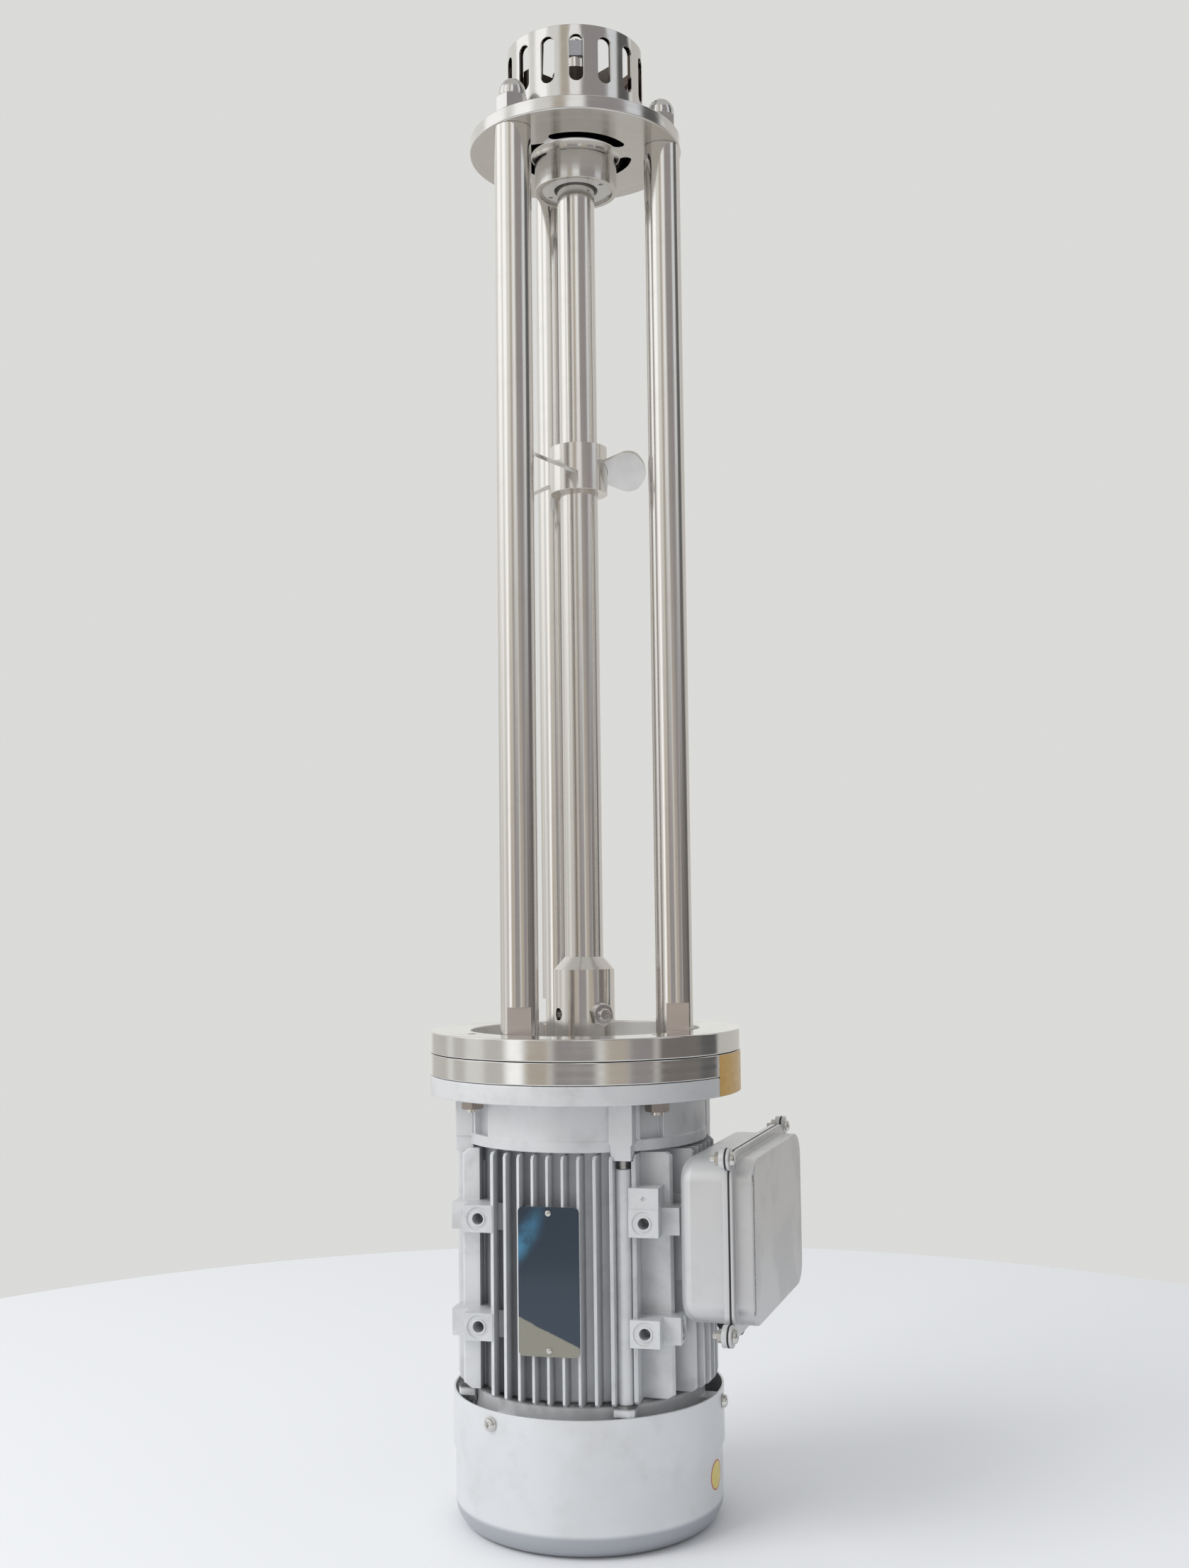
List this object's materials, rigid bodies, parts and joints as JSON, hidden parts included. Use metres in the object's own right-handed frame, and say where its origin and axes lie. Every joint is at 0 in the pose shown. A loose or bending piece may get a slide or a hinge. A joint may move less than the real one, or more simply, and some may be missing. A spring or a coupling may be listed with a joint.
{
  "type": "high shear mixer",
  "caption": "Batch high shear mixer: finned flange motor, support rods, mixer shaft with propeller, and a slotted stator head.",
  "frame": {"origin": "on the shaft axis at the flat end of the fan cowl", "axes": "+Z along the shaft towards the mixing head, +X towards the terminal box"},
  "size_m": [0.2312, 0.2, 0.9677],
  "materials": {
    "polished_stainless": "polished, bright vertical reflections",
    "turned_stainless": "turned, fine rings",
    "cast_aluminium": "silver paint over die-cast skin",
    "silver_sheet": "satin silver paint on sheet",
    "zinc_plated": "bright zinc",
    "laminations": "dull stacked sheet",
    "copper": "varnished copper",
    "bearing_steel": "ground",
    "black_rubber": "matt",
    "fan_plastic": "matt moulded",
    "bush_plastic": "filled bearing plastic",
    "can_plastic": "moulded",
    "board_plastic": "moulded phenolic",
    "gland_plastic": "moulded nylon",
    "plate_print": "printed blue-black, bare of text"
  },
  "bodies": {
    "housing": {"fan_cowl": "silver_sheet", "cowl_screws": "zinc_plated", "motor_frame": "cast_aluminium", "drive_end_flange": "cast_aluminium", "rear_end_shield": "cast_aluminium", "tie_bolts": "zinc_plated", "nameplate": "plate_print", "nameplate_rivets": "zinc_plated", "bearing_outer_rings": "bearing_steel", "wave_washer": "bearing_steel", "stator_core": "laminations", "stator_windings": "copper", "seal_plate": "turned_stainless", "shaft_seal": "black_rubber", "mounting_ring": "turned_stainless", "flange_bolts": "polished_stainless", "flange_nuts": "zinc_plated", "support_rod_right": "polished_stainless", "support_rod_left": "polished_stainless", "support_rod_back": "polished_stainless", "rod_washers": "polished_stainless", "cap_nuts": "polished_stainless", "head_plate": "turned_stainless", "bearing_bush": "bush_plastic", "bush_cover": "turned_stainless", "snap_ring": "zinc_plated", "stator_cage": "turned_stainless", "terminal_box_base": "silver_sheet", "box_gasket": "black_rubber", "terminal_box_lid": "silver_sheet", "box_screws": "zinc_plated", "box_nuts": "zinc_plated", "box_mount_screws": "zinc_plated", "terminal_board": "board_plastic", "start_capacitor": "can_plastic", "run_capacitor": "can_plastic", "cable_gland": "gland_plastic", "gland_lock_nut": "gland_plastic"},
    "shaft": {"motor_shaft": "bearing_steel", "rotor_core": "laminations", "bearing_inner_rings": "bearing_steel", "shaft_key": "zinc_plated", "cooling_fan": "fan_plastic", "fan_clip": "zinc_plated", "mixer_shaft": "polished_stainless", "coupling_set_screw": "zinc_plated", "coupling_lock_nut": "polished_stainless", "rotor_head": "turned_stainless", "rotor_collar": "polished_stainless", "rotor_nut": "polished_stainless"},
    "balls": {"bearing_balls": "bearing_steel"},
    "propeller": {"propeller_hub": "polished_stainless", "propeller_blades": "polished_stainless", "propeller_set_screw": "zinc_plated"}
  },
  "joints": [
    {"name": "shaft_spin", "type": "hinge", "parent": "housing", "child": "shaft", "pos_m": [0, 0, 0.3], "axis": [0, 0, 1], "continuous": true},
    {"name": "balls_orbit", "type": "hinge", "parent": "housing", "child": "balls", "pos_m": [0, 0, 0.15], "axis": [0, 0, 1], "continuous": true},
    {"name": "propeller_slide", "type": "slide", "parent": "shaft", "child": "propeller", "axis": [0, 0, 1], "range_m": [-0.3, 0.172]}
  ],
  "couplings": [
    {"joint": "balls_orbit", "follows": "shaft_spin", "ratio": 0.3969}
  ]
}
